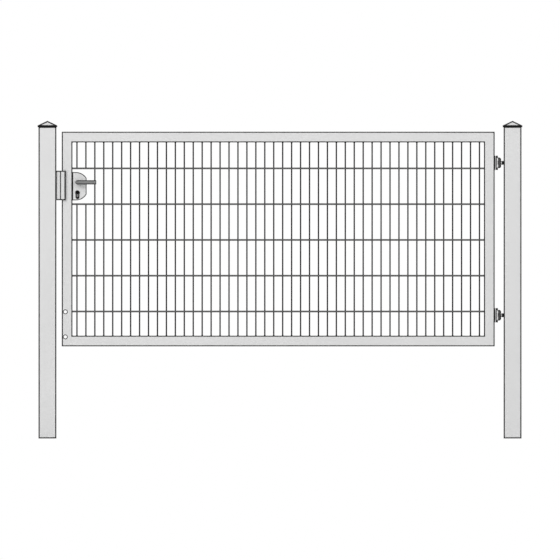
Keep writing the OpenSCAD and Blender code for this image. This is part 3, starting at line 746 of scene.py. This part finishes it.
hingeBolts = {
    "pitch": 66 * mm, "flats": 13 * mm, "headHeight": 5.3 * mm,
    "washerRadius": 7 * mm, "washerThick": 1.6 * mm, "washerWall": 1.28 * mm, "washerChamfer": 0.3 * mm,
    "washerSides": 28,
}


def makeHingeBolts(place):
    low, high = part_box(place + "_hinge_plate")
    middle = (low + high) / 2
    radius, thick = hingeBolts["washerRadius"], hingeBolts["washerThick"]
    profile = [(0, radius), (hingeBolts["washerWall"], radius),
               (thick, radius - hingeBolts["washerChamfer"])]
    mesh = bmesh.new()
    for side in (-1, 1):
        foot = Vector((high.x, middle.y, middle.z + side * hingeBolts["pitch"] / 2))
        addTurned(mesh, foot, sideways, profile, hingeBolts["washerSides"])
        addHexHead(mesh, foot + sideways * thick, sideways, hingeBolts["flats"], hingeBolts["headHeight"])
    makePiece(place + "HingeBolts", mesh, "leaf", finishes["blackOxide"], smoothAngle=30)


hingeWashers = {"radius": 9.8 * mm, "bore": 5.1 * mm, "thick": 0.26 * mm, "play": 0.02 * mm, "sides": 32}


def makeHingeWashers(place):
    # a thin washer above and below the eye
    middle = hingeMiddle(place)
    eyeLow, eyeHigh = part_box(place + "_hinge_eye_bolt")
    lift = upwards * ((eyeHigh.z - eyeLow.z) / 2 + hingeWashers["play"])
    radius, bore, thick = hingeWashers["radius"], hingeWashers["bore"], hingeWashers["thick"]
    profile = [(0, bore), (0, radius), (thick, radius), (thick, bore)]
    mesh = bmesh.new()
    for side in (-1, 1):
        addTurned(mesh, middle + side * lift, side * upwards, profile, hingeWashers["sides"], endless=True)
    makePiece(place + "HingeWashers", mesh, "leaf", finishes["blackOxide"], smoothAngle=30)


for place in ("upper", "lower"):
    makeHingeBolts(place)
    makeHingeWashers(place)
print("hinge fasteners done")


# lock: rims of the case, screws of the faceplate, seats of the key cylinder

caseRim = {"radius": 1.6 * mm, "inset": 0.6 * mm, "cornerSteps": 14, "sides": 8}


def caseOutline():
    # the D outline of the case, from its top at the stile round to its foot
    middleZ = (caseLow.z + caseHigh.z) / 2
    width = caseHigh.x - caseLow.x - caseRim["inset"]
    half = (caseHigh.z - caseLow.z) / 2 - caseRim["inset"]
    radius = caseShape["cornerRadius"] - caseRim["inset"]
    startAngle = math.acos((width - caseShape["flat"]) / radius)
    steps = caseRim["cornerSteps"]
    corner = []
    for i in range(steps + 1):
        angle = math.pi / 2 + (startAngle - math.pi / 2) * i / steps
        corner.append((caseShape["flat"] + radius * math.cos(angle),
                       half - radius + radius * math.sin(angle)))
    upper = [(0.0, half)] + corner
    lower = [(x, -z) for x, z in reversed(upper)]
    return [(caseLow.x + x, middleZ + z) for x, z in upper + lower]


def makeCaseRims():
    mesh = bmesh.new()
    for y in (caseLow.y + caseRim["inset"], caseHigh.y - caseRim["inset"]):
        centres = [Vector((x, y, z)) for x, z in caseOutline()]
        addSweep(mesh, centres, [caseRim["radius"]] * len(centres), caseRim["sides"])
    makePiece("lockCaseRims", mesh, "leaf", finishes["rim"])


faceScrews = {
    "endInset": 7 * mm, "radius": 4.4 * mm, "height": 1.1 * mm, "socketFlats": 3 * mm,
    "cylinderScrewUp": 8 * mm, "cylinderScrewScale": 0.8,  # the screw that holds the key cylinder
}


def makeFaceScrews():
    low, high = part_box("lock_faceplate")
    middle = (low + high) / 2
    cylinderScrewZ = (plugLow.z + plugHigh.z) / 2 + faceScrews["cylinderScrewUp"]
    places = [(low.z + faceScrews["endInset"], 1.0), (high.z - faceScrews["endInset"], 1.0),
              (cylinderScrewZ, faceScrews["cylinderScrewScale"])]
    mesh = bmesh.new()
    for z, scale in places:
        addSocketHead(mesh, Vector((low.x, middle.y, z)), -sideways, faceScrews["radius"] * scale,
                      faceScrews["height"], faceScrews["socketFlats"] * scale)
    makePiece("faceplateScrews", mesh, "leaf", finishes["zinc"], smoothAngle=30)


cylinderSeat = {
    "stemRadius": 5 * mm, "play": 0.03 * mm, "wall": 1.6 * mm,
    "depth": 3 * mm, "setBack": 2.6 * mm, "steps": 28,
}


def keyholeRing(low, high, grown, y):
    # outline of the key cylinder at y, grown all round
    steps = cylinderSeat["steps"]
    middleX = (low.x + high.x) / 2
    headRadius = (high.x - low.x) / 2
    headZ = high.z - headRadius
    footZ = low.z + cylinderSeat["stemRadius"]
    head, stem = headRadius + grown, cylinderSeat["stemRadius"] + grown
    opening = math.asin(stem / head)
    ring = []
    for i in range(steps + 1):
        angle = -math.pi / 2 + opening + (2 * math.pi - 2 * opening) * i / steps
        ring.append(Vector((middleX + head * math.cos(angle), y, headZ + head * math.sin(angle))))
    for i in range(steps // 2 + 1):
        angle = math.pi + math.pi * i / (steps // 2)
        ring.append(Vector((middleX + stem * math.cos(angle), y, footZ + stem * math.sin(angle))))
    return ring


def makeCylinderSeats():
    # the lock body's seats, just inside both walls of the case
    low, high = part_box("key_cylinder")
    inner, outer = cylinderSeat["play"], cylinderSeat["play"] + cylinderSeat["wall"]
    mesh = bmesh.new()
    for side in (-1, 1):
        near = side * (caseHigh.y - cylinderSeat["setBack"])
        far = near - side * cylinderSeat["depth"]
        corners = ((inner, near), (outer, near), (outer, far), (inner, far))
        addRings(mesh, [keyholeRing(low, high, grown, y) for grown, y in corners], endless=True)
    makePiece("cylinderSeats", mesh, "leaf", finishes["blackOxide"])


makeCaseRims()
makeFaceScrews()
makeCylinderSeats()
print("lock details done")


# keeper: rubber edge and weld beads

rubberLook = {"corner": 1.6 * mm, "cornerSteps": 6}


def rubberOutline(low, high):
    # its three free corners rounded, and the slot that holds the stop's edge
    stopLow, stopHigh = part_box("keeper_stop")
    corner, steps = rubberLook["corner"], rubberLook["cornerSteps"]
    corners = [(high.x - corner, low.y + corner, -90), (high.x - corner, high.y - corner, 0),
               (low.x + corner, high.y - corner, 90)]
    outline = []
    for cornerX, cornerY, startDegrees in corners:
        for step in range(steps + 1):
            angle = math.radians(startDegrees + 90 * step / steps)
            outline.append((cornerX + corner * math.cos(angle), cornerY + corner * math.sin(angle)))
    outline += [(low.x, stopHigh.y), (stopHigh.x, stopHigh.y), (stopHigh.x, stopLow.y),
                (low.x, stopLow.y), (low.x, low.y)]
    return outline


def makeRubber():
    # a rubber channel pushed over the free edge of the stop
    low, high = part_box("keeper_buffer")
    outline = rubberOutline(low, high)
    mesh = bmesh.new()
    addRings(mesh, [[Vector((x, y, z)) for x, y in outline] for z in (low.z, high.z)])
    piece = makePiece("keeperRubber", mesh, "posts", finishes["rubber"])
    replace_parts(piece, "keeper_buffer")


weldLook = {
    "radius": 2.4 * mm, "ripple": 0.12, "ripplePitch": 2.2 * mm, "ripplePoints": 4, "fewestPoints": 8,
    "tipShare": 0.35, "taperStep": 0.22, "sides": 8,
}


def addWeldBead(mesh, start, end):
    # a rippled bead from start to end, thinner at both tips
    steps = int((end - start).length / weldLook["ripplePitch"] * weldLook["ripplePoints"])
    steps = max(steps, weldLook["fewestPoints"])
    centres = [start.lerp(end, i / steps) for i in range(steps + 1)]
    radii = []
    for i in range(steps + 1):
        taper = min(1.0, weldLook["tipShare"] + min(i, steps - i) * weldLook["taperStep"])
        ripple = 1 + weldLook["ripple"] * math.sin(i * 2 * math.pi / weldLook["ripplePoints"])
        radii.append(weldLook["radius"] * taper * ripple)
    addSweep(mesh, centres, radii, weldLook["sides"])


keeperStitches = {  # where they start and how long they are, as shares of the keeper's height
    "edges": [0.04, 0.4, 0.76], "edgeLength": 0.2,
    "stop": [0.1, 0.65], "stopLength": 0.25,
}


def makeKeeperWelds():
    # stitch welds down both edges of the channel and behind the stop
    low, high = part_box("keeper_channel")
    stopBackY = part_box("keeper_stop")[1].y
    height = high.z - low.z
    edgeLength, stopLength = keeperStitches["edgeLength"], keeperStitches["stopLength"]
    stitches = [(low.x, y, share, edgeLength) for y in (low.y, high.y) for share in keeperStitches["edges"]]
    stitches += [(high.x, stopBackY, share, stopLength) for share in keeperStitches["stop"]]
    mesh = bmesh.new()
    for x, y, share, lengthShare in stitches:
        start = Vector((x, y, low.z + height * share))
        addWeldBead(mesh, start, start + upwards * height * lengthShare)
    makePiece("keeperWelds", mesh, "posts", finishes["rim"])


makeRubber()
makeKeeperWelds()
print("keeper done")


# leaf frame: beads in its inner corners and at the lock case

frameWeldSetBack = 5 * mm  # from the front and back of the frame


def makeFrameWelds():
    reach = (stileHigh.y - stileLow.y) / 2 - frameWeldSetBack
    corners = [(x, z) for x in (matLow.x, matHigh.x) for z in (matLow.z, matHigh.z)]
    corners += [(matLow.x, z) for z in (caseLow.z, caseHigh.z)]
    mesh = bmesh.new()
    for x, z in corners:
        addWeldBead(mesh, Vector((x, -reach, z)), Vector((x, reach, z)))
    makePiece("frameWelds", mesh, "leaf", finishes["weld"])


makeFrameWelds()
print("frame welds done")


# set: camera, lights, floor

gateMiddle = (cadLow + cadHigh) / 2
cameraSet = {"widthShown": 3.1304, "distance": 8.0, "lowerBy": 2 * mm}
lampSet = {
    "size": 7.0,
    "lamps": [  # name, place from the foot of the middle of the gate, watts
        ("keyLamp", (-7.0, -10.0, 7.0), 660),
        ("fillLamp", (6.5, -10.5, 4.5), 330),
        ("backLamp", (1.5, 10.5, 6.5), 560),
    ],
}
worldLevel = 0.45
floorSet = {"halfWidth": 30, "tone": 0.86, "rough": 0.9, "lift": 0.22}


def placeCamera():
    data = bpy.data.cameras.new("gateCamera")
    data.type = "ORTHO"
    data.ortho_scale = cameraSet["widthShown"]
    camera = bpy.data.objects.new("gateCamera", data)
    camera.location = (gateMiddle.x, -cameraSet["distance"], gateMiddle.z - cameraSet["lowerBy"])
    camera.rotation_euler = (math.radians(90), 0, 0)
    bpy.context.scene.collection.objects.link(camera)
    bpy.context.scene.camera = camera


def placeLamps():
    for name, spot, power in lampSet["lamps"]:
        data = bpy.data.lights.new(name, "AREA")
        data.size = lampSet["size"]
        data.energy = power
        lamp = bpy.data.objects.new(name, data)
        lamp.location = Vector((gateMiddle.x, 0, 0)) + Vector(spot)
        aim = gateMiddle - lamp.location
        lamp.rotation_euler = aim.to_track_quat("-Z", "Y").to_euler()
        bpy.context.scene.collection.objects.link(lamp)


def seenRays(tree):
    # 1 for what the camera sees straight, in reflections and through glass
    path = addNode(tree, "ShaderNodeLightPath").outputs
    seen = mathStep(tree, "MAXIMUM", path["Is Camera Ray"], path["Is Glossy Ray"])
    return mathStep(tree, "MAXIMUM", seen, path["Is Transmission Ray"])


def paintWorld():
    # white to the camera and in reflections, a softer level as light
    world = bpy.data.worlds.new("studio")
    world.use_nodes = True
    bpy.context.scene.world = world
    tree = world.node_tree
    level = spread(tree, seenRays(tree), 0.0, 1.0, worldLevel, 1.0)
    background = tree.nodes["Background"]
    background.inputs["Color"].default_value = (1, 1, 1, 1)
    tree.links.new(level, background.inputs["Strength"])


def layFloor():
    mesh = bmesh.new()
    bmesh.ops.create_grid(mesh, x_segments=8, y_segments=8, size=floorSet["halfWidth"])
    data = bpy.data.meshes.new("floor")
    mesh.to_mesh(data)
    mesh.free()
    material, tree, shader = startMaterial("paleFloor")
    shader.inputs["Base Color"].default_value = (*grey(floorSet["tone"]), 1)
    shader.inputs["Roughness"].default_value = floorSet["rough"]
    # paler only where it is seen, straight or in a reflection, and not as soft light on the gate
    lift = mathStep(tree, "MULTIPLY", seenRays(tree), floorSet["lift"])
    shader.inputs["Emission Color"].default_value = (1, 1, 1, 1)
    tree.links.new(lift, shader.inputs["Emission Strength"])
    data.materials.append(material)
    floor = bpy.data.objects.new("floor", data)
    bpy.context.scene.collection.objects.link(floor)


bpy.context.scene.view_settings.view_transform = "Standard"
placeCamera()
placeLamps()
paintWorld()
layFloor()
print("set done")
